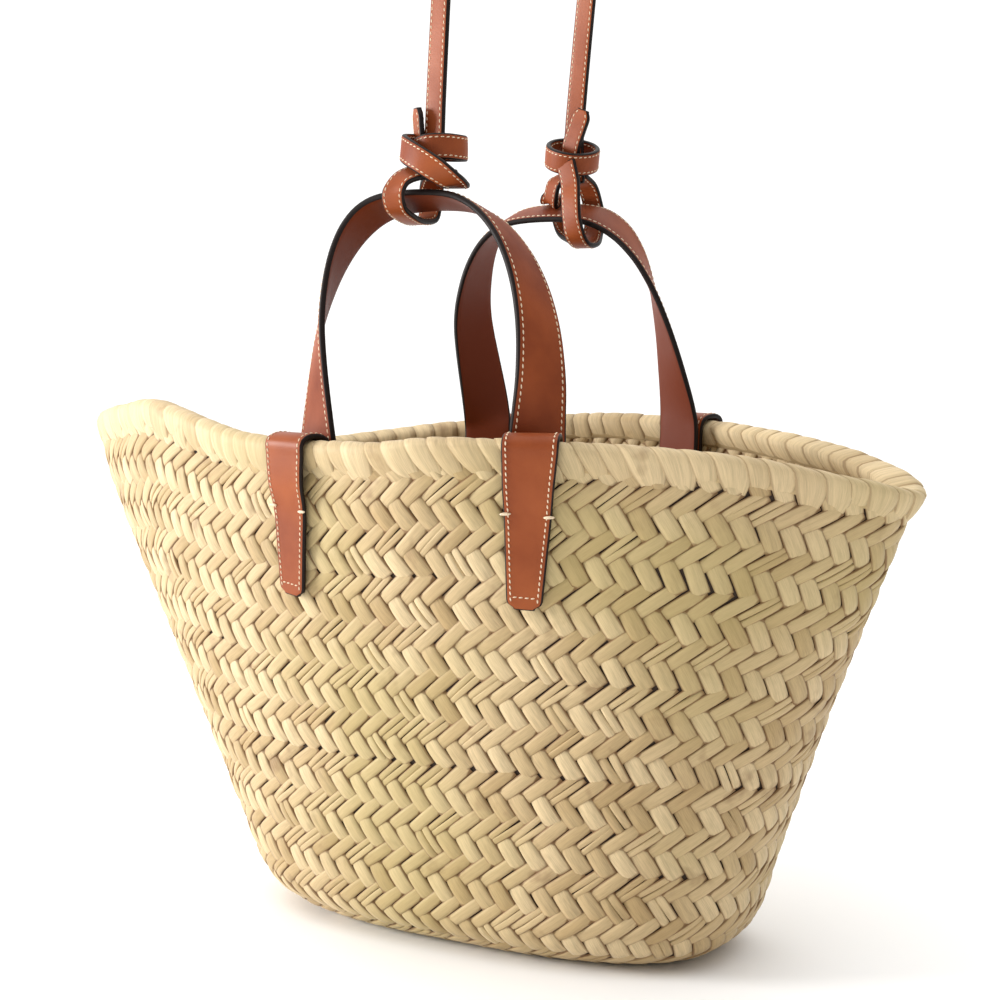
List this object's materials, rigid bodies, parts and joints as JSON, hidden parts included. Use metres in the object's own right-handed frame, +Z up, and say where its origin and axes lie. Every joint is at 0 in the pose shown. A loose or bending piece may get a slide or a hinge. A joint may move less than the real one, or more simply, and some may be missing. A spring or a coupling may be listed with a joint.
{
  "type": "straw basket bag",
  "caption": "Boat-shaped basket bag of plaited palm leaf with arched leather handles, folded rim tabs and a knotted leather shoulder strap.",
  "frame": {"origin": "the highest point of the shoulder strap, where the bag hangs", "axes": "+X along the basket towards its lower, rounder end, +Y from the front to the back, +Z up"},
  "size_m": [0.4069, 0.1851, 0.72],
  "materials": {
    "plaited_straw": "matt plaited palm leaf",
    "rim_straw": "matt wrapped palm leaf",
    "handle_leather": "smooth satin leather, black edges",
    "tab_leather": "smooth satin leather, black edges",
    "strap_leather": "smooth satin leather, black edges"
  },
  "bodies": {
    "root": {"basket_shell": "plaited_straw", "rim_border": "rim_straw", "front_handle": "handle_leather", "back_handle": "handle_leather", "front_left_tab": "tab_leather", "front_right_tab": "tab_leather", "back_left_tab": "tab_leather", "back_right_tab": "tab_leather", "shoulder_strap": "strap_leather"}
  },
  "joints": []
}
